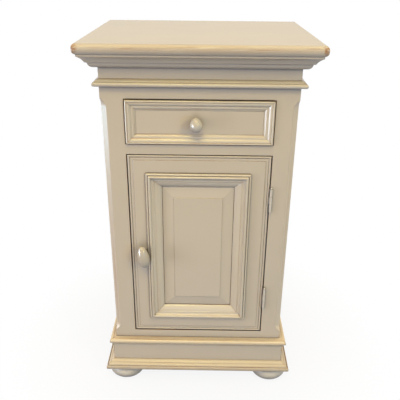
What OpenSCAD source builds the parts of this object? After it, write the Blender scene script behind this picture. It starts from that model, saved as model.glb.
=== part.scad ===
// Bedside pot cupboard: a painted pine cupboard with one drawer over one panelled door,
// a moulded top, a moulded plinth and four turned bun feet.
// Millimetres. X runs to the right, Y to the back and Z up. The origin is on the floor,
// midway across the width and midway between the front edge of the top and the back.

/* [Carcass] */
// Width across the two side boards
carcass_w = 388; // [350:1:430]
// Depth from the face of the front frame to the back
carcass_d = 359; // [310:1:410]
// Thickness of the front frame
frame_t = 22; // [20:0.5:26]
// Width of each upright of the front frame
stile_w = 45.6; // [42:0.2:52]
// Thickness of the side boards
side_t = 18; // [15:0.5:21]
// Thickness of the back boards
back_t = 8; // [7:0.5:11]
// Number of boards across the back
back_boards = 4; // [3:1:6]
// Thickness of the cupboard floor
floor_t = 16; // [12:0.5:19]
// Height of the floor above the bottom rail, where it stops the door
floor_lip = 6; // [4:0.5:9]
// Width of the stopped chamfer on each front corner
chamfer_w = 11.5; // [6:0.5:13]
// Length of the curved run-out at each end of the chamfer
chamfer_runout = 18; // [12:1:26]
// Plain length of upright below and above the chamfer
chamfer_stop = 22; // [12:1:40]

/* [Heights] */
// Height of the bun feet
foot_h = 38.3; // [32:0.1:48]
// Height of the plinth boards
plinth_h = 80.7; // [70:0.1:92]
// Height of the rail below the door
bottom_rail_h = 21; // [16:0.5:30]
// Height of the door opening
door_open_h = 441; // [390:1:490]
// Height of the rail between the door and the drawer
mid_rail_h = 21; // [17:0.5:30]
// Height of the drawer opening
drawer_open_h = 92.5; // [84:0.5:110]
// Height of the rail above the drawer, which shows as the frieze
top_rail_h = 88; // [80:0.5:100]

/* [Joinery] */
// Thickness of the tenons of the front frame
tenon_t = 8; // [6:0.5:9]
// Length of the tenons of the front frame
tenon_l = 26; // [18:1:30]
// Depth, front to back, of the rail that carries the drawer
mid_rail_d = 60; // [45:1:75]
// Shoulder above and below the tenons of the front frame
shoulder = 3; // [2:0.5:5]
// Width and depth of the tongue that joins a side board to the front frame
side_tongue = 6; // [4:0.5:8]
// Width of the rebates that hold the back boards
back_rebate = 10; // [7:0.5:12]
// Depth of the housings that hold the cupboard floor
floor_in = 6; // [4:0.5:8]
// Glue clearance round tenons, tails and panels
fit = 0.1; // [0.05:0.01:0.2]

/* [Top] */
// Thickness of the top board
top_t = 19.5; // [16:0.5:24]
// Reach of the top board beyond the front frame and the sides
top_out = 38.6; // [35:0.2:46]
// Swell of the rounded edge of the top board beyond its arrises
top_round = 5.4; // [3:0.2:8]
// Radius of the corners of the top board, seen from above
top_corner_r = 4; // [2:0.5:12]
// Reach of the cornice moulding
cornice_out = 32; // [24:0.5:34]
// Height of the cornice moulding
cornice_h = 27.5; // [24:0.5:33]
// Reach of the neck moulding below the frieze
neck_out = 11.8; // [8:0.2:15]
// Height of the neck moulding
neck_h = 14.4; // [12:0.2:20]
// Height of the neck moulding above the drawer opening
neck_up = 24.3; // [20:0.1:30]

/* [Base] */
// Reach of the plinth boards beyond the front frame and the sides
plinth_out = 7.3; // [5:0.1:9]
// Thickness of the plinth boards
plinth_t = 16; // [14:0.5:18]
// Reach of the capping moulding on the plinth
cap_out = 14.6; // [13:0.2:18]
// Height of the capping moulding above the foot of the carcass
cap_rise = 1.5; // [1:0.5:4]
// Drop of the capping moulding below the foot of the carcass
cap_drop = 16; // [13:0.5:19]
// Reach of the foot moulding beyond the front frame and the sides
skirt_out = 25.3; // [20:0.1:30]
// Height of the foot moulding
skirt_h = 20.8; // [16:0.2:25]
// Side of the square blocks in the corners of the plinth
block_w = 52; // [46:1:64]
// Greatest radius of a bun foot
foot_r = 43.5; // [34:0.5:44]
// Radius of the flat that a foot stands on
foot_base_r = 26; // [22:0.5:28]
// Radius of the flat on top of a foot
foot_top_r = 29; // [25:0.5:30]
// Distance of a foot's centre in from the side edges of the foot moulding
foot_in = 43.8; // [43.4:0.2:46]
// Distance of a front foot's centre in from the front edge of the foot moulding
foot_in_front = 48; // [44:0.5:52]
// Distance of a back foot's centre in from the back
foot_in_back = 45; // [44:0.5:50]
// Diameter of the spigot on a foot
spigot_d = 13; // [10:0.5:15]
// Length of the spigot on a foot
spigot_l = 30; // [20:1:40]

/* [Drawer] */
// Gap round the drawer front
drawer_gap = 1.8; // [1:0.1:2.5]
// Distance of the drawer board behind the face of the front frame
drawer_sink = 1; // [0.5:0.5:4]
// Thickness of the drawer front
drawer_front_t = 18; // [16:0.5:21]
// Thickness of the drawer sides and back
drawer_side_t = 10; // [8:0.5:12]
// Thickness of the drawer bottom
drawer_bottom_t = 5; // [4:0.5:6]
// Height of the drawer bottom above its opening
drawer_bottom_up = 9; // [8:0.5:12]
// Space left behind the closed drawer
drawer_back_space = 21; // [12:1:40]
// Number of dovetails on each corner
tail_count = 3; // [2:1:4]
// Length of the half-blind dovetails at the front
tail_l = 12; // [9:0.5:13]
// Slope of the dovetails, in degrees
tail_slope = 9; // [7:0.5:12]
// Clearance of the drawer above its runners
run_gap = 0.3; // [0.2:0.05:0.6]
// Thickness of the runners
runner_t = 16; // [12:1:20]
// Height of the guides beside the drawer
guide_h = 12; // [8:1:20]
// Thickness of the kickers above the drawer
kicker_t = 20; // [14:1:26]
// Width of each drawer stop
stop_w = 30; // [20:1:40]
// Depth, front to back, of each drawer stop
stop_d = 20; // [14:1:30]
// Reach of runners and kickers over the drawer's sides
runner_reach = 16; // [12:1:24]
// Width of the moulding round the drawer front
drawer_mould_w = 20.5; // [16:0.5:24]
// Thickness of the moulding round the drawer front
drawer_mould_h = 7; // [5.5:0.5:9]

/* [Door] */
// Gap round the door
door_gap = 1.5; // [1.2:0.1:2.2]
// Thickness of the door's frame
door_t = 21; // [19:0.5:21.5]
// Width of the bead and fillet round the door
door_bead_w = 11; // [8:0.5:13]
// Radius of the bead round the door
door_bead_r = 2.6; // [1.8:0.1:3]
// Plain width from the door's free edge to its panel moulding
margin_free = 36; // [35:0.1:42]
// Plain width from the door's hinged edge to its panel moulding
margin_hung = 39.6; // [34:0.1:46]
// Plain width from the door's lower edge to its panel moulding
margin_low = 35; // [28:0.5:44]
// Plain width from the door's upper edge to its panel moulding
margin_high = 38.8; // [30:0.1:48]
// Width of the panel moulding
mould_w = 33; // [29:0.5:38]
// Height of the panel moulding above the door's face
mould_h = 8.8; // [6:0.2:11]
// Width of the panel moulding that lies on the door's frame
mould_lap = 16.5; // [14:0.5:17]
// Depth of the panel's border behind the door's face
panel_sink = 8; // [6.5:0.25:9]
// Thickness of the panel's border
panel_edge_t = 6.5; // [5:0.5:8]
// Depth of the panel's raised field behind the door's face
field_sink = 3; // [2:0.25:5]
// Step at the edge of the field
field_step = 1; // [0.5:0.25:1.5]
// Width of the bevel round the field
bevel_w = 24.4; // [16:0.2:28]
// Depth of the panel's grooves in the door's frame
groove_d = 10; // [7:0.5:12]
// Length of the tenons of the door
door_tenon_l = 35; // [25:1:45]

/* [Hinges] */
// Length of each hinge
hinge_l = 53; // [46:1:62]
// Distance of the upper hinge's middle below the door's upper edge
hinge_high = 97; // [80:1:120]
// Distance of the lower hinge's middle above the door's lower edge
hinge_low = 94; // [75:1:120]
// Number of knuckles on each hinge
knuckles = 3; // [3:2:7]
// Radius of the knuckles
knuckle_r = 2.8; // [2.6:0.1:3.2]
// Radius of the hinge pins
pin_r = 1.5; // [1.2:0.1:1.7]
// Distance of the hinge pins to the side of the opening's edge, over the front frame
hinge_over = 1.8; // [1.4:0.1:2.4]
// Thickness of the hinge leaves
leaf_t = 1.2; // [1:0.1:1.5]
// Width of the hinge leaves
leaf_w = 17; // [15:0.5:18]
// Radius of the shank of a hinge screw
screw_r = 1.4; // [1.1:0.1:1.6]
// Length of a hinge screw
screw_l = 15; // [12:1:18]

/* [Knobs and latch] */
// Greatest radius of the oval drawer knob
knob_r = 12.3; // [10:0.1:14]
// Length of the oval drawer knob
knob_l = 30; // [26:0.5:36]
// Reach of the drawer knob's middle in front of its board
knob_reach = 17.7; // [16.5:0.1:20]
// Lean of the oval drawer knob, in degrees
knob_lean = 9; // [0:1:15]
// Distance of the drawer knob to the right of the middle
knob_x = -6.5; // [-20:0.5:20]
// Radius of the drawer knob's spigot
knob_spigot_r = 5; // [4:0.5:6]
// Greatest radius of the oval door knob
grip_r = 12.8; // [11:0.2:14]
// Length of the oval door knob
grip_l = 51.5; // [42:0.5:56]
// Reach of the oval knob's middle in front of the door
grip_reach = 22; // [21.4:0.2:24]
// Lean of the oval knob at rest, in degrees
grip_lean = 7.5; // [0:0.5:15]
// Radius of the necks of both knobs
neck_r = 5.5; // [5:0.25:6.5]
// Radius of the collars at the feet of the necks
collar_r = 7.1; // [6:0.1:7.4]
// Distance of the latch in from the door's free edge
latch_in = 27.4; // [24:0.1:28.8]
// Height of the latch above the door's lower edge
latch_up = 211.5; // [180:0.5:260]
// Length of the latch tongue that reaches behind the front frame
latch_catch = 10; // [7:0.5:14]
// Width of the latch tongue
tongue_w = 16; // [13:0.5:20]
// Thickness of the latch tongue
tongue_t = 6; // [5:0.5:8]
// Radius of the latch spindle
spindle_r = 3; // [2.5:0.25:4]

/* [Hidden] */

$fn = 48;

paint = [0.77, 0.70, 0.58];
pine = [0.80, 0.64, 0.43];
steel = [0.62, 0.60, 0.56];

// Levels, from the floor up
z_case = foot_h + plinth_h;
z_door0 = z_case + bottom_rail_h;
z_door1 = z_door0 + door_open_h;
z_drawer0 = z_door1 + mid_rail_h;
z_drawer1 = z_drawer0 + drawer_open_h;
z_slab = z_drawer1 + top_rail_h;

// Half widths, and depths behind the face of the front frame
half = carcass_w / 2;
open_half = half - stile_w;
inner_half = half - side_t;
back_y = carcass_d - back_t;
face_y = (top_out - carcass_d) / 2;

// The tenons stand in the middle of the frame's thickness
tenon_y = (frame_t - tenon_t) / 2;

// Drawer
drawer_half = open_half - drawer_gap;
drawer_z0 = z_drawer0 + drawer_gap;
drawer_z1 = z_drawer1 - drawer_gap;
drawer_mid_z = (drawer_z0 + drawer_z1) / 2;
drawer_back_of_front = drawer_sink + drawer_front_t;
drawer_end = back_y - drawer_back_space;
side_z0 = z_drawer0 + run_gap;
side_drop = 1;
side_z1 = drawer_z1 - side_drop;
bottom_z = z_drawer0 + drawer_bottom_up;
bottom_in = drawer_side_t * 0.45;

// Door
door_half = open_half - door_gap;
door_z0 = z_door0 + door_gap;
door_z1 = z_door1 - door_gap;
door_left = -door_half + margin_free + mould_lap;
door_right = door_half - margin_hung - mould_lap;
door_low_w = margin_low + mould_lap;
door_high_w = margin_high + mould_lap;
door_tenon_t = panel_edge_t;
panel_mid = [(margin_free - margin_hung) / 2, 0, (door_z0 + margin_low + door_z1 - margin_high) / 2];
panel_frame_w = 2 * door_half - margin_free - margin_hung;
panel_frame_h = door_z1 - door_z0 - margin_low - margin_high;

// Hinge line, in front of the face so that the door can swing right round
hinge_x = open_half + hinge_over;
knuckle_gap = 0.2;
hinge_y = -(knuckle_r + knuckle_gap);
hinge_levels = [door_z0 + hinge_low, door_z1 - hinge_high];
knuckle_l = hinge_l / knuckles;
pin_gap = 0.06;
screw_gap = 0.05;
screw_head_r = 2 * screw_r;
screw_levels = [for (k = [-1, 0, 1]) k * hinge_l / 3];

// Latch
latch_x = -(door_half - latch_in);
latch_z = door_z0 + latch_up;
latch_gap = 0.3;
spindle_gap = 0.08;
tongue_gap = 0.05;
tongue_y = frame_t + latch_gap;
tongue_l = latch_in + door_gap + latch_catch;

// Bun feet
foot_x = half + skirt_out - foot_in;
foot_front_y = foot_in_front - skirt_out;
foot_back_y = carcass_d - foot_in_back;
block_x = half + plinth_out - plinth_t - block_w;
block_front_y = plinth_t - plinth_out;
block_back_y = carcass_d - plinth_t - block_w;
foot_rim = 1.5;

// Longer than any cut needs to be
far = 1000;

// ---------- Curves and profiles ----------

// Arc about a centre, from angle a0 to angle a1
function arc(c, r, a0, a1, n = 10) =
    [for (i = [0 : n]) let (a = a0 + (a1 - a0) * i / n) c + r * [cos(a), sin(a)]];

// Arc from a to b whose middle stands s to the left of the straight line between them
function bow(a, b, s, n = 8) =
    let (l = norm(b - a), u = (b - a) / l, v = [-u[1], u[0]],
         r = (l * l / 4 + s * s) / (2 * abs(s)), h = asin(min(1, l / (2 * r))))
    [for (i = [0 : n]) let (t = h * (2 * i / n - 1))
        (a + b) / 2 + u * r * sin(t) + v * sign(s) * r * (cos(t) - cos(h))];

// A right-hand outline, from its foot to its top on the line x = 0, and its mirror image
function both_ways(p) =
    concat(p, [for (i = [len(p) - 1 : -1 : 0]) if (p[i][0] > 0) [-p[i][0], p[i][1]]]);

// Outlines of the mouldings that run round the carcass, as [reach, height]
cornice_profile = let (w = cornice_out, h = cornice_h) concat(
    [[0, 0]], bow([0.08 * w, 0], [0.49 * w, 0.35 * h], -0.103 * w),
    [[0.5 * w, 0.37 * h], [0.625 * w, 0.41 * h]],
    bow([0.625 * w, 0.44 * h], [w, 0.85 * h], 0.04 * w), [[w, h], [0, h]]);

neck_profile = let (w = neck_out, h = neck_h) concat(
    [[0, 0]], bow([0.7 * w, 0], [0.6 * w, 0.62 * h], -0.33 * w),
    [[0.52 * w, 0.67 * h]], bow([0.51 * w, 0.74 * h], [0, h], -0.04 * w));

cap_profile = let (w = cap_out - plinth_out, h = cap_drop) concat(
    [[plinth_out, -h], [plinth_out + 0.27 * w, -h]],
    bow([plinth_out + 0.33 * w, -0.94 * h], [cap_out - 0.12 * w, -0.56 * h], 0.12 * w),
    bow([cap_out - 0.08 * w, -0.53 * h], [cap_out - 0.44 * w, -0.02 * h], -0.26 * w),
    [[0, cap_rise], [0, 0], [plinth_out, 0]]);

skirt_profile = let (w = skirt_out - plinth_out, h = skirt_h) [for (q = concat(
    [[0, 0]], bow([0.9 * w, 0], [0.9 * w, 0.5 * h], -0.09 * w),
    [[0.82 * w, 0.45 * h]], bow([0.79 * w, 0.47 * h], [0.46 * w, 0.73 * h], -0.06 * w),
    [[0.43 * w, 0.73 * h]], bow([0.41 * w, 0.77 * h], [0, h], -0.03 * w)))
    [q[0] + plinth_out, q[1]]];

// Outlines of the mouldings of the drawer and door, as [way in from the edge, height]
drawer_profile = let (w = drawer_mould_w, h = drawer_mould_h) concat(
    [[0, 0]], bow([0, 0.6 * h], [0.19 * w, 0.84 * h], 0.07 * w),
    [[0.2 * w, 0.7 * h]], bow([0.21 * w, 0.78 * h], [0.52 * w, 0.44 * h], 0.05 * w),
    [[0.56 * w, 0.4 * h]], bow([0.58 * w, 0.34 * h], [0.86 * w, 0.14 * h], 0.04 * w),
    [[0.88 * w, 0.08 * h], [w, 0.07 * h], [w, 0]]);

bolection_profile = let (w = mould_w, h = mould_h, d = panel_sink) concat(
    [[0, 0]], bow([0, 0.36 * h], [0.125 * w, 0.58 * h], 0.04 * w),
    [[0.136 * w, 0.5 * h]], bow([0.15 * w, 0.68 * h], [0.31 * w, 0.78 * h], 0.062 * w),
    [[0.325 * w, 0.6 * h]], bow([0.34 * w, 0.58 * h], [0.53 * w, 0.27 * h], -0.04 * w),
    [[0.55 * w, 0.26 * h]], bow([0.57 * w, 0.15 * h], [0.97 * w, -0.72 * d], 0.035 * w),
    [[w, -0.78 * d], [w, -d], [mould_lap + fit, -d], [mould_lap + fit, 0]]);

// The waste that leaves the bead and fillet round the edge of the door
door_bead_waste = let (r = door_bead_r, w = door_bead_w) concat(
    [[w, 1], [-1, 1], [-1, -r]], arc([r, -r], r, 180, 40),
    [[1.92 * r, -0.62 * r], [2.15 * r, -0.62 * r], [2.15 * r, -0.34 * r], [w, -0.34 * r]]);

// ---------- Shared shapes ----------

// Puts a piece drawn behind the plane y = 0 at the face of the front frame
module from_face() translate([0, face_y, 0]) children();

// Repeats a right-hand piece on the left
module on_left() mirror([1, 0, 0]) children();

// A board between two corners
module board(a, b) translate(a) cube(b - a);

// The front length of a moulding, mitred at both ends
module front_run(profile, z) {
    reach = max([for (q = profile) q[0]]);
    intersection() {
        translate([0, 0, z]) rotate([90, 0, 90])
            linear_extrude(2 * (half + reach), center = true)
                polygon([for (q = profile) [-q[0], q[1]]]);
        linear_extrude(far)
            polygon([[-half, 0], [half, 0], [half + reach, -reach], [-half - reach, -reach]]);
    }
}

// The right-hand length of a moulding, mitred to the front one and square at the back
module side_run(profile, z) {
    reach = max([for (q = profile) q[0]]);
    intersection() {
        translate([half, carcass_d, z]) rotate([90, 0, 0])
            linear_extrude(carcass_d + reach) polygon(profile);
        linear_extrude(far) polygon([[half, 0], [half + reach, -reach],
            [half + reach, carcass_d], [half, carcass_d]]);
    }
}

// One mitred length of a frame w wide and h high, standing up and centred on the origin.
// turn is 0 for the bottom length, 90 left, 180 top and 270 right.
module frame_run(w, h, profile, turn) {
    sideways = turn == 90 || turn == 270;
    l = (sideways ? h : w) / 2;
    m = (sideways ? w : h) / 2;
    b = max([for (q = profile) q[0]]);
    o = max(0, -min([for (q = profile) q[0]]));
    rotate([0, turn, 0]) intersection() {
        translate([0, 0, -m]) rotate([90, 0, 90]) linear_extrude(2 * (l + o), center = true)
            polygon([for (q = profile) [-q[1], q[0]]]);
        rotate([90, 0, 0]) linear_extrude(far, center = true) polygon([
            [-l - o, -m - o], [l + o, -m - o], [l - b, b - m], [b - l, b - m]]);
    }
}

// A bar right through a rail, whose ends are the rail's tenons
module tenon_bar(half_len, y, t, z0, z1, grow = 0)
    board([-half_len - grow, y - grow, z0 - grow], [half_len + grow, y + t + grow, z1 + grow]);

// A round rod along Y, from y0 to y1
module rod_y(r, y0, y1) translate([0, y0, 0]) rotate([-90, 0, 0]) cylinder(r = r, h = y1 - y0);

// ---------- Top ----------

// Section of the top board from the origin out to its rounded edge, as [reach, height]
function nosing(reach) = concat(
    [[0, 0]], bow([reach - top_round, 0], [reach - top_round, top_t], -top_round, 14), [[0, top_t]]);

module top_board() color(paint) from_face() intersection() {
    // Rounded on both sides
    translate([0, carcass_d, z_slab]) rotate([90, 0, 0]) linear_extrude(carcass_d + top_out)
        polygon(both_ways(nosing(half + top_out)));
    // Rounded at the front and square at the back
    translate([0, carcass_d, z_slab]) rotate([90, 0, -90]) linear_extrude(far, center = true)
        polygon(nosing(carcass_d + top_out));
    // Rounded corners in plan
    translate([0, 0, z_slab]) linear_extrude(top_t) difference() {
        translate([-half - top_out, -top_out])
            square([carcass_w + 2 * top_out, carcass_d + top_out]);
        for (s = [0, 1]) mirror([s, 0])
            translate([half + top_out - top_corner_r, top_corner_r - top_out]) difference() {
                translate([0, -2 * top_corner_r]) square(2 * top_corner_r);
                circle(top_corner_r);
            }
    }
}

module cornice_front() color(paint) from_face() front_run(cornice_profile, z_slab - cornice_h);
module cornice_right() color(paint) from_face() side_run(cornice_profile, z_slab - cornice_h);
module cornice_left() on_left() cornice_right();

module neck_moulding_front() color(paint) from_face() front_run(neck_profile, z_drawer1 + neck_up);
module neck_moulding_right() color(paint) from_face() side_run(neck_profile, z_drawer1 + neck_up);
module neck_moulding_left() on_left() neck_moulding_right();

// ---------- Carcass ----------

// The tenons of the three rails, which also cut their mortises in the uprights
module rail_tenons(grow = 0) {
    tenon_bar(open_half + tenon_l, tenon_y, tenon_t, z_case + shoulder, z_door0 - shoulder, grow);
    tenon_bar(open_half + tenon_l, tenon_y, tenon_t, z_door1 + shoulder, z_drawer0 - shoulder, grow);
    tenon_bar(open_half + tenon_l, tenon_y, tenon_t, z_drawer1 + shoulder, z_slab - shoulder, grow);
}

// Waste of the stopped chamfer: a flat at 45 degrees that curves out at both ends
module chamfer_waste() {
    deep = chamfer_w / sqrt(2);
    r = (chamfer_runout * chamfer_runout + deep * deep) / (2 * deep);
    turn = asin(chamfer_runout / r);
    z0 = z_case + chamfer_stop + chamfer_runout;
    z1 = z_drawer1 - chamfer_runout;
    translate([half, 0, 0]) rotate([90, 0, -45]) linear_extrude(4 * chamfer_w, center = true)
        polygon(concat([[chamfer_w, z0 - chamfer_runout]],
            arc([r - deep, z0], r, 180 + turn, 180, 8),
            arc([r - deep, z1], r, 180, 180 - turn, 8),
            [[chamfer_w, z1 + chamfer_runout]]));
}

// Recess in a wooden edge for one hinge leaf; the edge faces the middle of the gap
module leaf_recess(x) for (z = hinge_levels)
    board([x, -1, z - hinge_l / 2 - fit], [x + leaf_t + fit, leaf_w + fit, z + hinge_l / 2 + fit]);

module stile_blank() difference() {
    board([open_half, 0, z_case], [half, frame_t, z_slab]);
    chamfer_waste();
    rail_tenons(fit);
    // Groove for the tongue on the side board
    board([half - (side_t + side_tongue) / 2 - fit, frame_t - side_tongue - fit, z_case - 1],
          [half - (side_t - side_tongue) / 2 + fit, frame_t + 1, z_slab + 1]);
}

module stile_left() color(paint) from_face() on_left() stile_blank();
module stile_right() color(paint) from_face() difference() {
    stile_blank();
    leaf_recess(open_half);
    hinge_screws(1, screw_gap);
}

module rail(z0, z1, depth) {
    board([-open_half, 0, z0], [open_half, depth, z1]);
    tenon_bar(open_half + tenon_l, tenon_y, tenon_t, z0 + shoulder, z1 - shoulder);
}
module rail_top() color(paint) from_face() rail(z_drawer1, z_slab, frame_t);
module rail_mid() color(paint) from_face() rail(z_door1, z_drawer0, mid_rail_d);
module rail_bottom() color(paint) from_face() rail(z_case, z_door0, frame_t);

module side_right() color(paint) from_face() difference() {
    union() {
        board([inner_half, frame_t, z_case], [half, carcass_d, z_slab]);
        board([half - (side_t + side_tongue) / 2, frame_t - side_tongue, z_case],
              [half - (side_t - side_tongue) / 2, frame_t, z_slab]);
    }
    // Rebate for the back boards, and housing for the cupboard floor
    board([inner_half - 1, back_y, z_case - 1], [inner_half + back_rebate, carcass_d + 1, z_slab + 1]);
    floor_slab(fit);
}
module side_left() on_left() side_right();

module floor_slab(grow = 0)
    board([-inner_half - floor_in - grow, frame_t, z_door0 + floor_lip - floor_t - grow],
          [inner_half + floor_in + grow, back_y, z_door0 + floor_lip + grow]);
module floor_board() color(pine) from_face() floor_slab();

// Upright tongued and grooved boards, with a small V at each joint
module back_panel() color(pine) from_face() {
    pitch = 2 * (inner_half + back_rebate - fit) / back_boards;
    w = pitch - 2 * fit;
    tongue = back_t / 3;
    vee = 1.2;
    for (i = [0 : back_boards - 1]) {
        first = i == 0;
        last = i == back_boards - 1;
        translate([(i - back_boards / 2) * pitch + fit, back_y, z_case])
            linear_extrude(z_slab - z_case) difference() {
                union() {
                    polygon([[0, vee], [vee, 0], [w - vee, 0], [w, vee],
                             [w, back_t - vee], [w - vee, back_t], [vee, back_t], [0, back_t - vee]]);
                    if (first) square([w / 2, back_t]);
                    if (last) translate([w / 2, 0]) square([w / 2, back_t]);
                    if (!last) translate([w / 2, tongue]) square([w / 2 + tongue, tongue]);
                }
                if (!first) translate([-1, tongue - fit]) square([1 + tongue, tongue + 2 * fit]);
            }
    }
}

// Bearers level with the drawer rail, with a guide glued beside the drawer on each
module drawer_runners() color(pine) from_face() for (s = [0, 1]) mirror([s, 0, 0]) {
    board([open_half - runner_reach, mid_rail_d, z_drawer0 - runner_t],
          [inner_half, back_y, z_drawer0]);
    board([open_half, mid_rail_d, z_drawer0 + fit], [inner_half, back_y, z_drawer0 + guide_h]);
}

module drawer_kickers() color(pine) from_face() for (s = [0, 1]) mirror([s, 0, 0])
    board([open_half - runner_reach, frame_t, z_drawer1], [inner_half, back_y, z_drawer1 + kicker_t]);

// Two blocks on the drawer rail that the closed drawer front meets
module drawer_stops() color(pine) from_face() for (s = [-1, 1])
    translate([s * open_half * 0.6 - stop_w / 2, drawer_back_of_front + run_gap, z_drawer0])
        cube([stop_w, stop_d, drawer_bottom_up * 0.55]);

// ---------- Base ----------

module base_moulding_front() color(paint) from_face() front_run(cap_profile, z_case);
module base_moulding_right() color(paint) from_face() side_run(cap_profile, z_case);
module base_moulding_left() on_left() base_moulding_right();

module foot_moulding_front() color(paint) from_face() front_run(skirt_profile, foot_h);
module foot_moulding_right() color(paint) from_face() side_run(skirt_profile, foot_h);
module foot_moulding_left() on_left() foot_moulding_right();

plinth_half = half + plinth_out;

module plinth_front() color(paint) from_face() translate([0, 0, foot_h]) linear_extrude(plinth_h)
    polygon([[-plinth_half, -plinth_out], [plinth_half, -plinth_out],
             [plinth_half - plinth_t, block_front_y], [plinth_t - plinth_half, block_front_y]]);
module plinth_right() color(paint) from_face() translate([0, 0, foot_h]) linear_extrude(plinth_h)
    polygon([[plinth_half, -plinth_out], [plinth_half, carcass_d],
             [plinth_half - plinth_t, carcass_d], [plinth_half - plinth_t, block_front_y]]);
module plinth_left() on_left() plinth_right();
module plinth_back() color(pine) from_face()
    board([plinth_t - plinth_half, carcass_d - plinth_t, foot_h],
          [plinth_half - plinth_t, carcass_d, z_case]);

// Glued blocks that hold the feet
module foot_blocks() color(pine) from_face() for (s = [0, 1]) mirror([s, 0, 0]) {
    foot_block(block_front_y, foot_front_y);
    foot_block(block_back_y, foot_back_y);
}
module foot_block(y, hole_y) difference() {
    translate([block_x, y, foot_h]) cube([block_w, block_w, plinth_h]);
    translate([foot_x, hole_y, foot_h - 1]) cylinder(d = spigot_d + 2 * fit, h = spigot_l + 2);
}

// A turned bun with its spigot
module bun_foot(x, y) color(paint) from_face() translate([x, y, 0]) rotate_extrude($fn = 64)
    polygon(concat([[0, 0]],
        bow([foot_base_r, 0], [foot_top_r, foot_h - foot_rim],
            (foot_base_r + foot_top_r) / 2 - foot_r, 16),
        [[foot_top_r, foot_h], [spigot_d / 2, foot_h], [spigot_d / 2, foot_h + spigot_l],
         [0, foot_h + spigot_l]]));
module foot_front_left() bun_foot(-foot_x, foot_front_y);
module foot_front_right() bun_foot(foot_x, foot_front_y);
module foot_back_left() bun_foot(-foot_x, foot_back_y);
module foot_back_right() bun_foot(foot_x, foot_back_y);

// ---------- Drawer ----------

// Dovetails on the end of a drawer side, drawn on its face: the root is at y0 and the
// tails grow by len towards way (-1 to the front, 1 to the back)
module tails(y0, way, len, z0, z1, grow = 0) {
    pitch = (z1 - z0) / tail_count;
    flare = len * tan(tail_slope);
    root = 0.26 * pitch;
    for (i = [0 : tail_count - 1]) translate([0, z0 + (i + 0.5) * pitch]) polygon([
        [y0 - way, -root - grow], [y0, -root - grow],
        [y0 + way * (len + grow), -root - flare - grow],
        [y0 + way * (len + grow), root + flare + grow],
        [y0, root + grow], [y0 - way, root + grow]]);
}

drawer_back_z0 = bottom_z + drawer_bottom_t;
drawer_back_drop = 6;
drawer_back_z1 = side_z1 - drawer_back_drop;
tail_rise = 3;
tail_z0 = drawer_z0 + tail_rise;

// The outline of a drawer side stands in the YZ plane, drawer_side_t thick
module side_plate() translate([drawer_half - drawer_side_t, 0, 0]) rotate([90, 0, 90])
    linear_extrude(drawer_side_t) children();

module front_tails(grow = 0)
    side_plate() tails(drawer_back_of_front, -1, tail_l, tail_z0, side_z1, grow);
module back_tails(grow = 0)
    side_plate() tails(drawer_end - drawer_side_t, 1, drawer_side_t,
                       drawer_back_z0, drawer_back_z1, grow);

// Groove for the drawer bottom
module bottom_groove() board(
    [-drawer_half + drawer_side_t - bottom_in - fit, drawer_back_of_front - bottom_in - fit,
     bottom_z - fit],
    [drawer_half - drawer_side_t + bottom_in + fit, drawer_end + 1, drawer_back_z0 + fit]);

module drawer_side_right() color(pine) from_face() difference() {
    union() {
        side_plate() polygon([
            [drawer_back_of_front, side_z0], [drawer_end, side_z0], [drawer_end, drawer_back_z0],
            [drawer_end - drawer_side_t, drawer_back_z0], [drawer_end - drawer_side_t, side_z1],
            [drawer_back_of_front, side_z1]]);
        front_tails();
        back_tails();
    }
    bottom_groove();
}
module drawer_side_left() on_left() drawer_side_right();

module drawer_front() color(paint) from_face() difference() {
    board([-drawer_half, drawer_sink, drawer_z0], [drawer_half, drawer_back_of_front, drawer_z1]);
    front_tails(fit);
    on_left() front_tails(fit);
    bottom_groove();
    translate([knob_x, 0, drawer_mid_z])
        rod_y(knob_spigot_r + fit, drawer_sink - 1, drawer_back_of_front + 1);
}

module drawer_back() color(pine) from_face() difference() {
    board([-drawer_half, drawer_end - drawer_side_t, drawer_back_z0 + fit],
          [drawer_half, drawer_end, drawer_back_z1]);
    back_tails(fit);
    on_left() back_tails(fit);
}

module drawer_bottom() color(pine) from_face() board(
    [-drawer_half + drawer_side_t - bottom_in, drawer_back_of_front - bottom_in, bottom_z],
    [drawer_half - drawer_side_t + bottom_in, drawer_end, drawer_back_z0]);

module drawer_moulding(turn) color(paint) from_face() translate([0, drawer_sink, drawer_mid_z])
    frame_run(2 * drawer_half, drawer_z1 - drawer_z0, drawer_profile, turn);
module drawer_moulding_bottom() drawer_moulding(0);
module drawer_moulding_left() drawer_moulding(90);
module drawer_moulding_top() drawer_moulding(180);
module drawer_moulding_right() drawer_moulding(270);

// An egg-shaped grip, turned about its long axis, on a round neck with a collar at its foot
module egg_knob(r, len, reach, lean, base) {
    rod_y(neck_r, -reach, -base);
    rod_y(collar_r, -base - collar_r / 2.4, -base);
    translate([0, -reach, 0]) rotate([0, -lean, 0]) rotate_extrude() polygon(
        [for (i = [0 : 24]) let (t = -cos(i * 7.5))
            [max(0, r * sqrt(1 - t * t) * (1 - 0.13 * t)), t * len / 2]]);
}

module drawer_knob() color(paint) from_face() translate([knob_x, drawer_sink, drawer_mid_z]) {
    egg_knob(knob_r, knob_l, knob_reach, knob_lean, 0);
    rod_y(knob_spigot_r, -collar_r / 4, drawer_front_t - 1);
}

// ---------- Door ----------

module door_bead_cuts() translate([0, 0, (door_z0 + door_z1) / 2]) for (turn = [0, 90, 180, 270])
    frame_run(2 * door_half, door_z1 - door_z0, door_bead_waste, turn);

// The tenons of both rails, which also cut their mortises in the uprights
module door_tenons(grow = 0) for (z = [
        [door_z0 + 2 * shoulder, door_z0 + door_low_w - groove_d - shoulder],
        [door_z1 - door_high_w + groove_d + shoulder, door_z1 - 2 * shoulder]])
    board([door_left - door_tenon_l - grow, panel_sink - grow, z[0] - grow],
          [door_right + door_tenon_l + grow, panel_sink + door_tenon_t + grow, z[1] + grow]);

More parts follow.
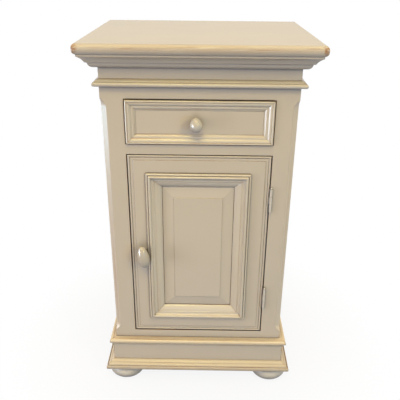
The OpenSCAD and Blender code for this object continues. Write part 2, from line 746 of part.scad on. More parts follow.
// The space for the panel's edge in the grooves of the frame
module panel_grooves() board(
    [door_left - groove_d, panel_sink - fit, door_z0 + door_low_w - groove_d],
    [door_right + groove_d, panel_sink + panel_edge_t + fit, door_z1 - door_high_w + groove_d]);

// An upright of the door, from x0 to x1
module door_upright(x0, x1) difference() {
    board([x0, 0, door_z0], [x1, door_t, door_z1]);
    door_bead_cuts();
    door_tenons(fit);
    panel_grooves();
}

module door_stile_left() color(paint) from_face() difference() {
    door_upright(-door_half, door_left);
    translate([latch_x, 0, latch_z]) rod_y(spindle_r + spindle_gap, -1, door_t + 1);
}
module door_stile_right() color(paint) from_face() difference() {
    door_upright(door_right, door_half);
    leaf_recess(door_half - leaf_t - fit);
    hinge_screws(-1, screw_gap);
}

module door_rail(z0, z1) color(paint) from_face() difference() {
    union() {
        board([door_left, 0, z0], [door_right, door_t, z1]);
        intersection() {
            door_tenons();
            board([-far, 0, z0], [far, door_t, z1]);
        }
    }
    door_bead_cuts();
    panel_grooves();
}
module door_rail_bottom() door_rail(door_z0, door_z0 + door_low_w);
module door_rail_top() door_rail(door_z1 - door_high_w, door_z1);

// Section of the raised panel, as [across, depth behind the door's face]
function panel_section(edge, sight) = let (field = sight - bevel_w) [
    [-edge, panel_sink + panel_edge_t], [-edge, panel_sink], [-sight, panel_sink],
    [-field, field_sink + field_step], [-field, field_sink], [field, field_sink],
    [field, field_sink + field_step], [sight, panel_sink], [edge, panel_sink],
    [edge, panel_sink + panel_edge_t]];

module door_panel() color(paint) from_face() translate(panel_mid) {
    grip = mould_lap - groove_d + 1;
    w = panel_frame_w / 2;
    h = panel_frame_h / 2;
    intersection() {
        linear_extrude(2 * (h - grip), center = true)
            polygon(panel_section(w - grip, w - mould_w));
        rotate([0, 90, 0]) linear_extrude(2 * (w - grip), center = true)
            polygon(panel_section(h - grip, h - mould_w));
    }
}

module panel_moulding(turn) color(paint) from_face() translate(panel_mid)
    frame_run(panel_frame_w, panel_frame_h, bolection_profile, turn);
module panel_moulding_bottom() panel_moulding(0);
module panel_moulding_left() panel_moulding(90);
module panel_moulding_top() panel_moulding(180);
module panel_moulding_right() panel_moulding(270);

// ---------- Hinges ----------

// The edge that a leaf lies on: side is 1 on the frame and -1 on the door
function leaf_edge(side) = side == 1 ? open_half : door_half;

// One leaf with its share of the barrel, where first is the lowest knuckle of that share.
// In front of the face a strap joins each knuckle to the leaf.
module hinge_leaf(side, first) {
    x = [leaf_edge(side), leaf_edge(side) + side * leaf_t];
    board([min(x), 0, -hinge_l / 2], [max(x), leaf_w, hinge_l / 2]);
    for (k = [first : 2 : knuckles - 1])
        translate([0, 0, k * knuckle_l + knuckle_gap / 2 - hinge_l / 2])
            linear_extrude(knuckle_l - knuckle_gap) difference() {
                union() {
                    translate([hinge_x, hinge_y]) circle(knuckle_r);
                    if (side == 1)
                        translate([x[0], hinge_y]) square([leaf_t, -hinge_y]);
                    else {
                        translate([x[1], hinge_y + knuckle_r - leaf_t])
                            square([hinge_x - x[1], leaf_t]);
                        translate([x[1], hinge_y + knuckle_r - leaf_t])
                            square([leaf_t, leaf_t - hinge_y - knuckle_r]);
                    }
                }
                translate([hinge_x, hinge_y]) circle(pin_r + pin_gap);
            }
}

module hinge_frame_leaves() color(paint) from_face() difference() {
    for (z = hinge_levels) translate([0, 0, z]) hinge_leaf(1, 0);
    hinge_screws(1, screw_gap);
}
module hinge_door_leaves() color(paint) from_face() difference() {
    for (z = hinge_levels) translate([0, 0, z]) hinge_leaf(-1, 1);
    hinge_screws(-1, screw_gap);
}

// A pin with a small turned tip at each end
module hinge_pins() color(paint) from_face() for (z = hinge_levels)
    translate([hinge_x, hinge_y, z]) rotate_extrude() for (s = [0, 1]) mirror([0, s]) polygon(concat(
        [[0, 0], [pin_r, 0], [pin_r, hinge_l / 2 + knuckle_gap]],
        bow([pin_r * 1.3, hinge_l / 2 + knuckle_gap], [0, hinge_l / 2 + 2.4 * pin_r], -0.7 * pin_r)));

// Countersunk screws through the leaves: side 1 into the frame, -1 into the door
module hinge_screws(side, grow = 0) for (z = hinge_levels, k = [0 : 2])
    translate([leaf_edge(side), leaf_w * (k == 1 ? 0.42 : 0.62), z + screw_levels[k]])
        rotate([0, side * 90, 0]) rotate_extrude($fn = 24) polygon([
            [0, -grow], [screw_head_r + grow, -grow], [screw_r + grow, leaf_t],
            [screw_r + grow, screw_l - 2], [0.3, screw_l + grow], [0, screw_l + grow]]);
module frame_hinge_screws() color(steel) from_face() hinge_screws(1);
module door_hinge_screws() color(steel) from_face() hinge_screws(-1);

// ---------- Latch ----------

// The oval door knob, with a long spindle through the door
module latch_knob() color(paint) from_face() translate([latch_x, 0, latch_z]) {
    egg_knob(grip_r, grip_l, grip_reach, grip_lean, latch_gap);
    rod_y(spindle_r, -grip_reach, tongue_y + tongue_t + 1);
}

// The wooden tongue hangs clear behind the door, and turns behind the frame to hold it
module latch_tongue() color(pine) from_face() translate([latch_x, tongue_y, latch_z])
    rotate([-90, 0, 0]) linear_extrude(tongue_t) difference() {
        union() {
            circle(tongue_w / 2);
            translate([-tongue_w / 2, 0]) square([tongue_w, tongue_l - tongue_w / 2]);
            translate([0, tongue_l - tongue_w / 2]) circle(tongue_w / 2);
        }
        circle(spindle_r + tongue_gap);
    }

top_board();
cornice_front();
cornice_left();
cornice_right();
neck_moulding_front();
neck_moulding_left();
neck_moulding_right();
side_left();
side_right();
stile_left();
stile_right();
rail_top();
rail_mid();
rail_bottom();
floor_board();
back_panel();
drawer_runners();
drawer_kickers();
drawer_stops();
base_moulding_front();
base_moulding_left();
base_moulding_right();
plinth_front();
plinth_left();
plinth_right();
plinth_back();
foot_moulding_front();
foot_moulding_left();
foot_moulding_right();
foot_blocks();
foot_front_left();
foot_front_right();
foot_back_left();
foot_back_right();
hinge_frame_leaves();
hinge_pins();
frame_hinge_screws();
drawer_front();
drawer_moulding_top();
drawer_moulding_bottom();
drawer_moulding_left();
drawer_moulding_right();
drawer_side_left();
drawer_side_right();
drawer_back();
drawer_bottom();
drawer_knob();
door_stile_left();
door_stile_right();
door_rail_top();
door_rail_bottom();
door_panel();
panel_moulding_top();
panel_moulding_bottom();
panel_moulding_left();
panel_moulding_right();
hinge_door_leaves();
door_hinge_screws();
latch_knob();
latch_tongue();
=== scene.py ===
"""Bedside pot cupboard: worn greige paint, soft studio light and the photograph's camera.

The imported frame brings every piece. This script gives each piece its material, and adds the camera,
the floor, the room and the lamps. Lengths are in metres, angles in degrees and colours in levels of
255 as a screen shows them. Light is linear: 1, 1, 1 shows a surface that faces it in its own colour."""
import math

import bpy
from mathutils import Matrix, Vector


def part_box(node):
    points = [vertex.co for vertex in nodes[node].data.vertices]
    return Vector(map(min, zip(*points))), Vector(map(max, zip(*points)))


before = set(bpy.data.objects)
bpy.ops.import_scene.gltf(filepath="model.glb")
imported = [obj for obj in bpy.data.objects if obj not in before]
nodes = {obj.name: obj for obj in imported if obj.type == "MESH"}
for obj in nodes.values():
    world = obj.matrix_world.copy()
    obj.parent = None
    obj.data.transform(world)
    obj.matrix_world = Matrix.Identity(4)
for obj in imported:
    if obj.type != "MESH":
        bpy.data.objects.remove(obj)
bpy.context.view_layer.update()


# ---------- Camera ----------

# Fitted to the photograph's edges and corners
CAMERA_PLACE = (0.01165, -1.1586, 0.9424)
CAMERA_AZIMUTH = 0.541
CAMERA_ELEVATION = 24.814
CAMERA_ROLL = -0.514
LENS_MM = 47.093
SENSOR_MM = 36.0


def toward(azimuth, elevation):
    """The way out from the object: azimuth 0 is straight in front of it and 90 on the right."""
    around, up = math.radians(azimuth), math.radians(elevation)
    return Vector((math.sin(around) * math.cos(up), -math.cos(around) * math.cos(up), math.sin(up)))


def add_object(name, data):
    made = bpy.data.objects.new(name, data)
    bpy.context.scene.collection.objects.link(made)
    return made


def make_camera():
    around, roll = math.radians(CAMERA_AZIMUTH), math.radians(CAMERA_ROLL)
    forward = -toward(CAMERA_AZIMUTH, CAMERA_ELEVATION)
    level = Vector((math.cos(around), math.sin(around), 0.0))
    below = forward.cross(level)
    right = level * math.cos(roll) + below * math.sin(roll)
    down = below * math.cos(roll) - level * math.sin(roll)
    data = bpy.data.cameras.new("camera")
    data.sensor_width = SENSOR_MM
    data.lens = LENS_MM
    camera = add_object("camera", data)
    placed = Matrix((right, -down, -forward)).transposed().to_4x4()
    placed.translation = Vector(CAMERA_PLACE)
    camera.matrix_world = placed
    bpy.context.scene.camera = camera


# ---------- Node helpers ----------

class Tree:
    """Adds nodes and links to the node tree of a material or a world, which starts empty."""

    def __init__(self, owner):
        owner.use_nodes = True
        self.owner = owner
        self.tree = owner.node_tree
        self.tree.nodes.clear()

    def add(self, kind, inputs=None, **settings):
        node = self.tree.nodes.new(kind)
        for key, value in settings.items():
            setattr(node, key, value)
        for key, value in (inputs or {}).items():
            self.put(node.inputs[key], value)
        return node

    def put(self, socket, value):
        """Links a socket or a node's first output, and sets anything else as a constant."""
        if isinstance(value, bpy.types.NodeSocket):
            self.tree.links.new(value, socket)
        elif isinstance(value, bpy.types.Node):
            self.tree.links.new(value.outputs[0], socket)
        else:
            socket.default_value = value

    def math(self, operation, a, b=None, clamp=False):
        inputs = {0: a} if b is None else {0: a, 1: b}
        return self.add("ShaderNodeMath", inputs, operation=operation, use_clamp=clamp).outputs[0]

    def times(self, a, b, clamp=False):
        return self.math("MULTIPLY", a, b, clamp)

    def vector(self, operation, a, b=None):
        inputs = {0: a} if b is None else {0: a, 1: b}
        return self.add("ShaderNodeVectorMath", inputs, operation=operation)

    def length(self, vector):
        return self.vector("LENGTH", vector).outputs["Value"]

    def ramp(self, x, span, values=(0.0, 1.0)):
        """Goes smoothly from the first value to the second, while x goes over the span."""
        return self.add("ShaderNodeMapRange", {"Value": x, "From Min": span[0], "From Max": span[1],
                                               "To Min": values[0], "To Max": values[1]},
                        interpolation_type="SMOOTHSTEP").outputs[0]

    def mix(self, share, a, b):
        return self.add("ShaderNodeMix", {0: share, 6: a, 7: b}, data_type="RGBA").outputs[2]

    def noise(self, place, scale, detail=3.0, rough=0.5, distortion=0.0):
        return self.add("ShaderNodeTexNoise", {"Vector": place, "Scale": scale, "Detail": detail,
                                               "Roughness": rough, "Distortion": distortion}).outputs[0]

    def patches(self, place, noise, span):
        return self.ramp(self.noise(place, *noise), span)

    def place(self):
        return self.add("ShaderNodeTexCoord").outputs["Object"]

    def stretch(self, place, scale, shift=(0, 0, 0)):
        return self.add("ShaderNodeMapping", {"Vector": place, "Scale": scale,
                                              "Location": shift}).outputs[0]

    def openness(self, reach, **settings):
        """1 where nothing comes within reach, before the face or, with inside=True, behind it."""
        return self.add("ShaderNodeAmbientOcclusion", {"Distance": reach}, samples=8,
                        **settings).outputs["AO"]

    def relief(self, height, strength, depth, **normal):
        return self.add("ShaderNodeBump", {"Strength": strength, "Distance": depth, "Height": height,
                                           **normal})

    def backdrop_ray(self):
        """1 for what the camera sees, straight, reflected or through glass, and 0 for light itself."""
        path = self.add("ShaderNodeLightPath")
        seen = path.outputs["Is Camera Ray"]
        for other in ("Is Glossy Ray", "Is Transmission Ray"):
            seen = self.math("MAXIMUM", seen, path.outputs[other])
        return seen

    def surface(self, colour, rough, normal, **constants):
        """Ends a material with the Principled shader, with constants on the shader's own sockets."""
        shader = self.add("ShaderNodeBsdfPrincipled", {"Base Color": colour, "Roughness": rough,
                                                       "Normal": normal, **constants})
        self.add("ShaderNodeOutputMaterial", {0: shader})
        return self.owner


def material(name):
    return Tree(bpy.data.materials.new(name))


def linear(colour, share=1.0):
    """A colour in levels of 255, times share, as the shaders take it."""
    levels = (level / 255.0 for level in colour)
    return tuple(share * (c / 12.92 if c <= 0.04045 else ((c + 0.055) / 1.055) ** 2.4)
                 for c in levels) + (1.0,)


# ---------- Materials ----------

PAINT = (190, 174, 149)
WOOD_DARK = (118, 74, 46)
WOOD_PALE = (180, 137, 92)
# The brown of wax in the quirks, which also paints shade in the gaps between parts
WAX_AND_SHADE = (70, 56, 40)
# The grey of painted shade, where other pieces shelter a surface
PAINTED_SHADE_GREY = (128, 120, 110)
PAINT_IOR = 1.5

# How far wear, wax and painted shade reach
ARRIS_WIDTH = 0.0019
ARRIS_REACH = 0.004
QUIRK_REACH = 0.008
SHELTER_REACH = 0.05
JOINT_REACH = 0.004

# Over which openness each of them turns from none to full, and for an arris also over which
# cosine between the bevelled normal and the true one
ARRIS_OPEN = (0.97, 0.78)
ARRIS_COSINE = (0.990, 0.93)
QUIRK_OPEN = (0.76, 0.34)
SHELTER_OPEN = (0.93, 0.46)

# Patterns: the noise as scale, detail and roughness, and for most its span between none and full
NOISE_SPAN = (0.3, 0.7)  # takes in nearly all of a noise
BRUSH = (700.0, 3.0, 0.6)
WOOD_GRAIN = (520.0, 3.0, 0.6)
CLOUDS = ((9.0, 2.0), NOISE_SPAN)
LONG_RUBS = ((150.0, 4.0, 0.62), (0.42, 0.56))
SHORT_RUBS = ((420.0, 3.0, 0.6), (0.30, 0.52))
LINES = ((620.0, 2.0), (0.57, 0.65))
RAGGED = ((330.0, 4.0, 0.65), (0.34, 0.56))
GRAIN_DRAWN = 0.03  # scale along the grain, which draws a pattern out
LINE_DRAWN = 0.008  # the same for the rubbed lines
SPOT_RIM = (1.0, 0.35)  # distances from a spot's middle, as shares of its reach
SHIFT_RANGE = 5
PAINT_STEPS = (0.731, 1.377, 2.113)  # the shift from one piece to the next

CLOUD_SHADES = (0.988, 1.012)
BRUSH_THIN = (0.55, 0.80)  # where brush marks let a little wood through
BRUSH_COVER = 0.05
WAX_AND_SHADE_COVER = 0.92
WORN_COVER = 0.85
BRUSH_ROUGH = (-0.03, 0.04)  # what brush marks add to the roughness
WORN_ROUGH = 0.2
BRUSH_HEIGHT = 0.5
WORN_DEPTH = 0.6
PAINT_RELIEF = (0.18, 0.0003)  # strength and depth


def along(grain, drawn=GRAIN_DRAWN):
    return tuple(drawn if axis == grain else 1.0 for axis in "xyz")


def shift_by(seed, steps):
    """Gives each piece its own place in the noise."""
    return tuple(seed * step % SHIFT_RANGE for step in steps)


def hide_joints(k, place, bevel, flat, joints):
    """The bevelled normal, but the true one where a painted-over joint shows no edge."""
    axis = k.add("ShaderNodeSeparateXYZ", {0: place}).outputs
    hidden = None
    for x, low, high in joints:
        aside = k.math("ABSOLUTE", k.math("SUBTRACT", axis["X"], x))
        above = k.math("ABSOLUTE", k.math("SUBTRACT", axis["Z"], (low + high) / 2))
        here = k.times(k.math("LESS_THAN", aside, JOINT_REACH),
                       k.math("LESS_THAN", above, (high - low) / 2))
        hidden = here if hidden is None else k.math("MAXIMUM", hidden, here)
    return k.add("ShaderNodeMix", {0: hidden, 4: bevel, 5: flat}, data_type="VECTOR").outputs[1]


def wear_spots(k, place, fine, broad, worn, spots):
    """Adds worn spots: a long one is ragged along the grain, a round one all round."""
    ragged = {}
    for middle, reach, weight in spots:
        away = k.length(k.vector("DIVIDE", k.vector("SUBTRACT", place, middle), reach))
        long = max(reach) > 2 * min(reach)
        if long not in ragged:
            ragged[long] = k.patches(fine if long else broad, *RAGGED)
        near = k.times(k.ramp(away, SPOT_RIM), weight)
        worn = k.math("MAXIMUM", worn, k.times(near, ragged[long]))
    return worn


def painted(name, grain, seed, colour=PAINT, rub=1.0, wax_and_shade=1.0, rough=0.32, lines=0.0, painted_shade=0.68,
            spots=(), joints=()):
    """Satin paint over pine: faint brush marks along the grain, arrises rubbed through in long
    streaks, brown wax with painted shade in the quirks and gaps, painted shade in the shelter of
    other pieces, thin rubbed lines, and worn spots, each a (middle, reach, weight). joints lists
    where a painted-over joint shows no edge, as (x, lowest z, highest z)."""
    k = material(name)
    place = k.place()
    shift = shift_by(seed, PAINT_STEPS)
    fine = k.stretch(place, along(grain), shift)
    broad = k.stretch(place, (1, 1, 1), shift)
    brush = k.noise(fine, *BRUSH)

    bevel = k.add("ShaderNodeBevel", {"Radius": ARRIS_WIDTH}, samples=8).outputs[0]
    flat = k.add("ShaderNodeNewGeometry").outputs["True Normal"]
    if joints:
        bevel = hide_joints(k, place, bevel, flat, joints)
    edge = k.ramp(k.vector("DOT_PRODUCT", bevel, flat).outputs["Value"], ARRIS_COSINE)
    outward = k.ramp(k.openness(ARRIS_REACH, inside=True, only_local=True), ARRIS_OPEN)
    arris = k.times(outward, edge)
    # Quirks and gaps: brown wax, and painted shade where the gaps are dark
    quirk = k.times(k.ramp(k.openness(QUIRK_REACH), QUIRK_OPEN), wax_and_shade, clamp=True)
    # Painted shade: how much the paint darkens where other pieces shelter it
    shelter = k.ramp(k.openness(SHELTER_REACH), SHELTER_OPEN, (0.0, painted_shade))

    # Long rubs along the grain, breaking up into shorter ones
    long_rub = k.patches(k.stretch(place, along(grain), shift[::-1]), *LONG_RUBS)
    short_rub = k.patches(fine, *SHORT_RUBS)
    worn = k.times(k.times(arris, k.times(long_rub, short_rub)), rub, clamp=True)
    if lines:
        line = k.patches(k.stretch(place, along(grain, LINE_DRAWN), shift), *LINES)
        worn = k.math("MAXIMUM", worn, k.times(line, k.times(short_rub, lines)))
    worn = wear_spots(k, place, fine, broad, worn, spots)

    tone = k.mix(k.patches(broad, *CLOUDS), *(linear(colour, shade) for shade in CLOUD_SHADES))
    tone = k.mix(k.ramp(brush, BRUSH_THIN, (0.0, BRUSH_COVER)), tone, linear(WOOD_PALE))
    # Painted shade: darker in the shelter of other pieces, such as under the cornice and in recesses
    tone = k.mix(shelter, tone, linear(PAINTED_SHADE_GREY))
    # Brown wax in the quirks, with painted shade darkening the quirks and the gaps between parts
    tone = k.mix(k.times(quirk, WAX_AND_SHADE_COVER), tone, linear(WAX_AND_SHADE))
    wood = k.mix(k.noise(fine, *WOOD_GRAIN), linear(WOOD_DARK), linear(WOOD_PALE))
    tone = k.mix(k.times(worn, WORN_COVER), tone, wood)

    satin = k.ramp(brush, NOISE_SPAN, [rough + more for more in BRUSH_ROUGH])
    height = k.math("SUBTRACT", k.times(brush, BRUSH_HEIGHT), k.times(worn, WORN_DEPTH))
    return k.surface(tone, k.math("ADD", satin, k.times(worn, WORN_ROUGH)),
                     k.relief(height, *PAINT_RELIEF, Normal=bevel), IOR=PAINT_IOR)


PINE = (205, 168, 118)
PINE_RING = (172, 126, 80)
PINE_PALE = (222, 190, 144)
PINE_PORE = (140, 98, 60)
PINE_BEVEL = 0.0008
PINE_RELIEF = (0.25, 0.0003)
PINE_ROUGH = (0.48, 0.62)
PINE_STEPS = (0.531, 1.177, 2.313)
RINGS = (90.0, 4.0, 0.55, 1.2)  # with distortion
RING_COUNT = 9.0
RING_SPAN = (0.15, 0.95)
PORES = (1400.0, 2.0, 0.6)
PORE_SPAN = (0.55, 0.75)
PORE_COVER = 0.3
PALE_SCALE = 9.0
PALE_SPAN = (0.35, 0.7)
PALE_COVER = 0.35


def bare(name, grain, seed):
    """Planed pine with growth rings drawn out along the grain."""
    k = material(name)
    place = k.place()
    fine = k.stretch(place, along(grain), shift_by(seed, PINE_STEPS))
    rings = k.math("FRACT", k.times(k.noise(fine, *RINGS), RING_COUNT))
    pores = k.noise(fine, *PORES)
    pale = k.ramp(k.noise(place, PALE_SCALE), PALE_SPAN, (0.0, PALE_COVER))
    tone = k.mix(k.ramp(rings, RING_SPAN), linear(PINE), linear(PINE_RING))
    tone = k.mix(pale, tone, linear(PINE_PALE))
    tone = k.mix(k.ramp(pores, PORE_SPAN, (0.0, PORE_COVER)), tone, linear(PINE_PORE))
    bevel = k.add("ShaderNodeBevel", {"Radius": PINE_BEVEL}, samples=4)
    return k.surface(tone, k.ramp(pores, NOISE_SPAN, PINE_ROUGH),
                     k.relief(k.math("ADD", rings, pores), *PINE_RELIEF, Normal=bevel))


STEEL_DULL = (150, 146, 138)
STEEL_BRIGHT = (188, 184, 176)
STEEL_RELIEF = (0.2, 0.0001)
STEEL_ROUGH = (0.3, 0.5)
SCRATCH_SCALE = 2500.0
SCRATCH_DRAWN = (1.0, 0.1, 1.0)
SCRATCH_SPAN = (0.35, 0.7)


def steel(name):
    """Dull screw steel, finely scratched."""
    k = material(name)
    scratch = k.noise(k.stretch(k.place(), SCRATCH_DRAWN), SCRATCH_SCALE)
    tone = k.mix(k.ramp(scratch, SCRATCH_SPAN), linear(STEEL_DULL), linear(STEEL_BRIGHT))
    return k.surface(tone, k.ramp(scratch, NOISE_SPAN, STEEL_ROUGH),
                     k.relief(scratch, *STEEL_RELIEF), Metallic=1.0)


# ---------- Materials for the CAD nodes ----------

STEEL_PIECES = {"frame_hinge_screws", "door_hinge_screws"}

# Unpainted pieces, with the way that their grain runs
PINE_GRAIN = {"floor_board": "x", "back_panel": "z", "drawer_runners": "y", "drawer_kickers": "y",
              "drawer_stops": "y", "plinth_back": "x", "foot_blocks": "z", "drawer_side_left": "y",
              "drawer_side_right": "y", "drawer_back": "x", "drawer_bottom": "x", "latch_tongue": "z"}

# Painted pieces whose marks run up, or to the back; on the others they run across
MARKS_UP = {"stile_left", "stile_right", "side_left", "side_right", "drawer_moulding_left",
            "drawer_moulding_right", "door_stile_left", "door_stile_right", "door_panel",
            "panel_moulding_left", "panel_moulding_right", "hinge_frame_leaves",
            "hinge_door_leaves", "hinge_pins", "latch_knob"}
MARKS_BACK = {"cornice_left", "cornice_right", "neck_moulding_left", "neck_moulding_right",
              "base_moulding_left", "base_moulding_right", "foot_moulding_left",
              "foot_moulding_right", "plinth_left", "plinth_right", "drawer_knob"}

# Colours that differ from PAINT
# Lighter than the paint, to paint brighter highlights onto the neck, drawer and panel mouldings
MOULDING_PAINT_WITH_HIGHLIGHT = (198, 183, 157)
BASE_PAINT = (206, 185, 149)
FOOT_MOULDING_PAINT = (188, 169, 138)
FOOT_PAINT = (206, 193, 170)
HINGE_PAINT = (198, 186, 166)
PANEL_PAINT = (192, 176, 151)
DRAWER_KNOB_PAINT = (182, 170, 150)
LATCH_KNOB_PAINT = (176, 162, 139)

# Long chips on the top board's front edge, as middle x, half length and drop below the top, and
# on the rim of the drawer's upper moulding, as middle x and half length
EDGE_CHIPS = ((-0.138, 0.034, 0.0080), (-0.028, 0.058, 0.0042), (0.118, 0.052, 0.0078),
              (0.205, 0.024, 0.0050), (-0.190, 0.030, 0.0055))
RIM_CHIPS = ((-0.103, 0.032), (0.055, 0.040))
EDGE_CHIP_REACH = (0.012, 0.0013)  # in y and z
RIM_CHIP_REACH = (0.003, 0.0018)
CHIP_WEIGHT = 0.8

# Other worn spots, as reach and weight
CORNER_SPOT = ((0.012, 0.012, 0.012), 1.25)
EDGE_SPOT = ((0.34, 0.010, 0.012), 0.35)
LEFT_ARRIS_SPOT = ((0.0065, 0.0065, 0.22), 0.6)
RIGHT_ARRIS_SPOT = ((0.0045, 0.0045, 0.32), 0.45)
CAP_SPOT = ((0.26, 0.0024, 0.0030), 0.9)
TOE_SPOT = ((0.28, 0.0040, 0.0018), 0.8)

# Where their middles are: in from an arris or a face, up from a lower edge, down from an upper
# one, or at a height
ARRIS_IN = 0.004
FACE_IN = 0.002
CORNER_UP = 0.011
EDGE_DOWN = 0.008
CAP_DOWN = 0.001
TOE_UP = 0.006
RIM_DOWN = 0.003
LEFT_ARRIS_HEIGHT = 0.26
RIGHT_ARRIS_HEIGHT = 0.40


def joint_places(left, right, rails):
    """Where rails meet the uprights left and right, as (x, lowest z, highest z)."""
    spans = [(low[2], high[2]) for low, high in (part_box(rail) for rail in rails)]
    return [(x, *span) for x in (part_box(left)[1][0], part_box(right)[0][0]) for span in spans]


def paint_looks():
    """How painted pieces depart from plain paint, by the start of their names; the first one fits."""
    frame_joints = joint_places("stile_left", "stile_right", ("rail_bottom", "rail_mid", "rail_top"))
    door_joints = joint_places("door_stile_left", "door_stile_right",
                               ("door_rail_bottom", "door_rail_top"))
    return (
        ("foot_moulding", {"colour": FOOT_MOULDING_PAINT, "rub": 1.6, "lines": 0.45, "wax_and_shade": 1.3}),
        ("base_moulding", {"colour": BASE_PAINT, "rub": 1.6, "lines": 0.75, "wax_and_shade": 1.3}),
        ("foot_", {"colour": FOOT_PAINT, "rub": 0.4, "rough": 0.48}),
        ("hinge_", {"colour": HINGE_PAINT, "rub": 0.4, "rough": 0.48}),
        ("drawer_knob", {"colour": DRAWER_KNOB_PAINT, "rub": 0.0, "rough": 0.17, "wax_and_shade": 0.5}),
        ("latch_knob", {"colour": LATCH_KNOB_PAINT, "rub": 0.0, "rough": 0.17, "wax_and_shade": 0.5}),
        ("cornice_", {"wax_and_shade": 1.5}),
        (("neck_moulding", "drawer_moulding", "panel_moulding"),
         {"colour": MOULDING_PAINT_WITH_HIGHLIGHT, "rub": 1.3, "lines": 0.4, "wax_and_shade": 1.3, "rough": 0.23}),
        ("door_panel", {"colour": PANEL_PAINT, "rub": 0.5, "wax_and_shade": 1.6, "painted_shade": 0.1}),
        (("rail_", "stile_"), {"joints": frame_joints, "wax_and_shade": 1.5, "rub": 1.3}),
        (("door_rail", "door_stile"), {"joints": door_joints, "wax_and_shade": 1.3, "rub": 1.3}),
    )


def worn_places():
    """Where the photograph shows paint rubbed off, as (middle, reach, weight) for each piece."""
    low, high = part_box("top_board")
    corners = [((x, low[1] + ARRIS_IN, low[2] + CORNER_UP), *CORNER_SPOT)
               for x in (low[0] + ARRIS_IN, high[0] - ARRIS_IN)]
    chips = [((x, low[1] + FACE_IN, high[2] - down), (half, *EDGE_CHIP_REACH), CHIP_WEIGHT)
             for x, half, down in EDGE_CHIPS]
    edge = ((0.0, low[1] + FACE_IN, high[2] - EDGE_DOWN), *EDGE_SPOT)
    front_left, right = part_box("stile_left")[0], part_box("stile_right")[1][0]
    front = front_left[1] + ARRIS_IN
    left_arris = ((front_left[0] + ARRIS_IN, front, LEFT_ARRIS_HEIGHT), *LEFT_ARRIS_SPOT)
    right_arris = ((right - ARRIS_IN, front, RIGHT_ARRIS_HEIGHT), *RIGHT_ARRIS_SPOT)
    low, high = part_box("base_moulding_front")
    cap = ((0.0, low[1] + ARRIS_IN, high[2] - CAP_DOWN), *CAP_SPOT)
    low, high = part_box("foot_moulding_front")
    toe = ((0.0, low[1] + FACE_IN, low[2] + TOE_UP), *TOE_SPOT)
    low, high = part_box("drawer_moulding_top")
    rim = [((x, low[1] + FACE_IN, high[2] - RIM_DOWN), (half, *RIM_CHIP_REACH), CHIP_WEIGHT)
           for x, half in RIM_CHIPS]
    return {"top_board": corners + chips + [edge], "stile_left": [left_arris],
            "stile_right": [right_arris], "base_moulding_front": [cap],
            "foot_moulding_front": [toe], "drawer_moulding_top": rim}


def dress():
    screw_steel = steel("screw_steel")
    looks = paint_looks()
    spots = worn_places()
    for seed, name in enumerate(sorted(nodes)):
        if name in STEEL_PIECES:
            made = screw_steel
        elif name in PINE_GRAIN:
            made = bare("pine_" + name, PINE_GRAIN[name], seed)
        else:
            grain = "z" if name in MARKS_UP else "y" if name in MARKS_BACK else "x"
            look = next((look for start, look in looks if name.startswith(start)), {})
            made = painted("paint_" + name, grain, seed, spots=spots.get(name, ()), **look)
        piece = nodes[name]
        if not piece.material_slots:
            piece.data.materials.append(made)
        for slot in piece.material_slots:
            slot.material = made


# ---------- Floor, room and lamps ----------

WHITE = (1.0, 1.0, 1.0, 1.0)
FLOOR_HALF = 30.0
FLOOR_SEEN = (0.6, 0.6, 0.6, 1.0)  # linear
FLOOR_BOUNCE = (0.09, 0.09, 0.09, 1.0)  # linear, low so that little light comes up
SHADOW_ZONE = (0.24, 0.55)  # distances from the middle between which the shadow fades out
ZONE_WHITE = (0.88, 1.0)  # share of plain white within the zone and beyond it
FILL = (0.42, 0.54, 0.76, 1.0)
AIM = (0.0, -0.16, 0.45)


def make_floor():
    """A floor that shows plain white, apart from the shadow round the object."""
    half = FLOOR_HALF
    mesh = bpy.data.meshes.new("floor")
    mesh.from_pydata([(-half, -half, 0), (half, -half, 0), (half, half, 0), (-half, half, 0)],
                     [], [(0, 1, 2, 3)])
    floor = add_object("floor", mesh)
    k = material("floor")
    seen = k.backdrop_ray()
    matt = k.add("ShaderNodeBsdfDiffuse", {"Color": k.mix(seen, FLOOR_BOUNCE, FLOOR_SEEN)})
    white = k.add("ShaderNodeEmission", {"Color": WHITE, "Strength": 1.0})
    away = k.ramp(k.length(k.place()), SHADOW_ZONE, ZONE_WHITE)
    shown = k.add("ShaderNodeMixShader", {0: k.times(seen, away), 1: matt, 2: white})
    k.add("ShaderNodeOutputMaterial", {0: shown})
    mesh.materials.append(k.owner)


def make_room():
    """A cool fill all round, which the camera and reflections see as plain white."""
    world = bpy.data.worlds.new("world")
    bpy.context.scene.world = world
    k = Tree(world)
    fill = k.add("ShaderNodeBackground", {"Color": FILL, "Strength": 1.0})
    white = k.add("ShaderNodeBackground", {"Color": WHITE, "Strength": 1.0})
    shown = k.add("ShaderNodeMixShader", {0: k.backdrop_ray(), 1: fill, 2: white})
    k.add("ShaderNodeOutputWorld", {0: shown})


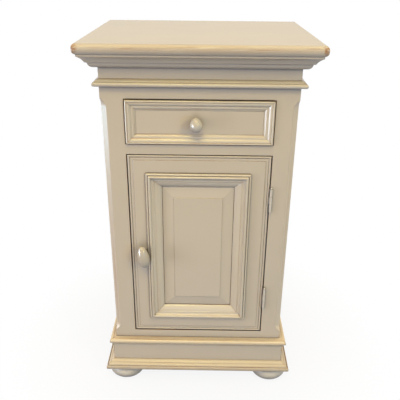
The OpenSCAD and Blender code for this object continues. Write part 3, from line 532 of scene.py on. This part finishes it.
def lamp(name, azimuth, elevation, distance, size, light, aim=AIM, matt=True, gloss=True):
    """A lamp that gives light, as linear red, green and blue, to a surface that faces it at its
    aim. matt and gloss say whether it lights matt surfaces and whether it shows in reflections."""
    way = toward(azimuth, elevation)
    data = bpy.data.lights.new(name, "AREA")
    data.shape = "RECTANGLE"
    data.size, data.size_y = size
    data.energy = max(light) * math.pi ** 2 * distance ** 2
    data.color = [c / max(light) for c in light]
    placed = add_object(name, data)
    placed.location = Vector(aim) + way * distance
    placed.rotation_euler = (-way).to_track_quat("-Z", "Y").to_euler()
    placed.visible_camera = False
    placed.visible_diffuse = matt
    placed.visible_glossy = gloss


def make_lamps():
    """Warm lamps above, at the sides and behind, and cool ones low down and on the left. With the
    room's fill they light the front in about plain white."""
    lamp("key", -7, 52.5, 4.5, (0.7, 0.7), (0.23, 0.19, 0.04))
    lamp("overhead", 8, 68, 3.6, (3.2, 2.6), (0.54, 0.42, 0.19))
    lamp("right_warm", 42, 27, 4.0, (0.45, 0.45), (0.30, 0.25, 0.10))
    lamp("right_cool", 45, 3, 2.6, (0.3, 0.15), (0.03, 0.10, 0.23))
    lamp("left_warm", -50, 12, 2.6, (0.5, 0.5), (0.08, 0.04, 0.01))
    lamp("window", -68, 0, 2.0, (0.35, 0.9), (0.29, 0.30, 0.34), aim=(0.0, -0.16, 0.50))
    lamp("low_cool", -5, 6, 1.1, (1.2, 0.3), (0.08, 0.10, 0.20), aim=(0.0, -0.18, 0.12), gloss=False)
    for name, azimuth in (("side_left", -112), ("side_right", 112), ("behind", 180)):
        lamp(name, azimuth, 10, 2.8, (1.0, 1.0), (0.30, 0.20, 0.05), gloss=False)

    # What the paint reflects on the left: a window and a pale wall beyond it
    lamp("window_front", -66, -6, 1.9, (1.0, 0.7), (0.90, 1.10, 1.35), aim=(0.05, -0.16, 0.56),
         matt=False)
    lamp("window_wall", -106, 4, 1.7, (1.2, 1.9), (0.72, 1.15, 1.50), matt=False)


make_camera()
dress()
make_floor()
make_room()
make_lamps()
bpy.context.scene.view_settings.view_transform = "Standard"
